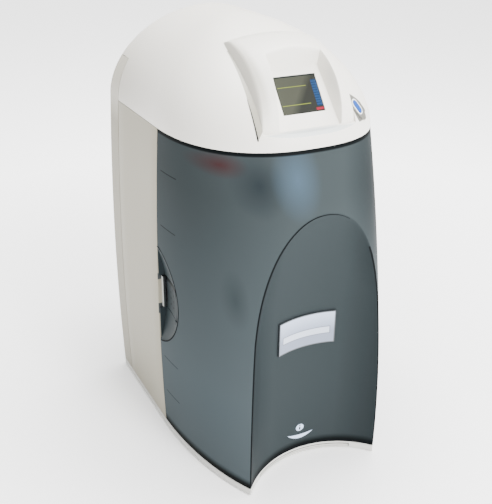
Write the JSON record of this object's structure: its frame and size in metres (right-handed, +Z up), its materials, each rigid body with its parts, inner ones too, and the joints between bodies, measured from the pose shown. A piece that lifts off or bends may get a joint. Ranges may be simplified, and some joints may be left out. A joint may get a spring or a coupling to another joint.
{
  "type": "laboratory water purification system",
  "caption": "Bench water purification unit: barrel-sided housing with a domed top, tilted display, lift-off smoked front door with a concave scoop, filters and pump inside.",
  "frame": {"origin": "centre of the bounding box's underside, on the floor plane between the front tips and the rear wall; y = 0 is also the door's rear edge", "axes": "+X to the right facing the front, +Y to the back, +Z up; the front faces -Y"},
  "size_m": [0.29, 0.3751, 0.5795],
  "materials": {
    "shell_white": "satin moulded",
    "panel_cream": "satin moulded",
    "smoke": "translucent smoked",
    "smoke_trim": "moulded, slightly glossy",
    "pale_plate": "smooth",
    "part_grey": "fine grain",
    "dark_grey": "fine grain",
    "black": "satin",
    "plain_white": "smooth",
    "blue": "smooth",
    "lens": "smooth, with the lit picture behind it",
    "board": "solder mask",
    "steel": "bare",
    "brass": "plated",
    "rubber": "matt",
    "tube": "translucent",
    "card": "laminated"
  },
  "bodies": {
    "housing": {"base_plate": "shell_white", "feet": "rubber", "left_side_panel": "panel_cream", "right_side_panel": "panel_cream", "rear_housing": "panel_cream", "top_cover": "shell_white", "display_bezel": "shell_white", "screen_lens": "lens", "lcd_module": "steel", "display_board": "board", "key_panel": "part_grey", "button_ring": "plain_white", "chassis": "steel", "door_keepers": "panel_cream", "rear_grille": "part_grey", "pack_shelf": "steel", "pack_dock": "dark_grey", "membrane_housing": "plain_white", "membrane_caps": "blue", "membrane_clips": "dark_grey", "polishing_stack": "plain_white", "polishing_end_plates": "steel", "polishing_tie_rods": "steel", "pump_motor": "dark_grey", "pump_head": "plain_white", "pump_cradle": "part_grey", "inlet_valve": "plain_white", "valve_coil": "dark_grey", "power_supply": "steel", "main_board": "board", "board_parts": "dark_grey", "board_posts": "steel", "connection_panel": "dark_grey", "feed_port": "plain_white", "product_port": "blue", "reject_port": "part_grey", "power_inlet": "dark_grey", "inlet_blades": "brass", "switch_frame": "dark_grey", "feed_tube": "tube", "pressure_tube": "tube", "permeate_tube": "tube", "product_tube": "tube", "reject_tube": "tube", "conductivity_cells": "dark_grey", "panel_screws": "steel"},
    "door": {"front_door": "smoke", "door_plate": "pale_plate", "left_finger_cup": "smoke_trim", "right_finger_cup": "smoke_trim", "latch_pins": "steel"},
    "left_latch": {"left_latch_lever": "dark_grey"},
    "right_latch": {"right_latch_lever": "dark_grey"},
    "tray": {"card_tray": "shell_white", "info_card": "card"},
    "pack": {"pretreatment_pack": "plain_white", "pack_handle": "part_grey", "pack_band": "blue"},
    "button": {"standby_button": "blue"},
    "rocker": {"power_rocker": "black"}
  },
  "joints": [
    {"name": "door_slide", "type": "slide", "parent": "housing", "child": "door", "axis": [0, -1, 0], "range_m": [0, 0.25]},
    {"name": "left_latch_squeeze", "type": "hinge", "parent": "door", "child": "left_latch", "pos_m": [-0.13368, -0.046, 0.2285], "axis": [0, 0, -1], "range_deg": [0, 8], "stiffness_Nm_per_rad": 0.3},
    {"name": "right_latch_squeeze", "type": "hinge", "parent": "door", "child": "right_latch", "pos_m": [0.13368, -0.046, 0.2285], "axis": [0, 0, 1], "range_deg": [0, 8], "stiffness_Nm_per_rad": 0.3},
    {"name": "tray_slide", "type": "slide", "parent": "housing", "child": "tray", "axis": [0, -1, 0], "range_m": [0, 0.085]},
    {"name": "pack_release", "type": "slide", "parent": "housing", "child": "pack", "axis": [0, -1, 0], "range_m": [0, 0.02]},
    {"name": "button_press", "type": "slide", "parent": "housing", "child": "button", "axis": [-0.4156, 0.7497, -0.515], "range_m": [0, 0.0015], "stiffness_N_per_m": 400},
    {"name": "rocker_tilt", "type": "hinge", "parent": "housing", "child": "rocker", "pos_m": [0.046, 0.162, 0.066], "axis": [1, 0, 0], "range_deg": [0, 14]}
  ]
}
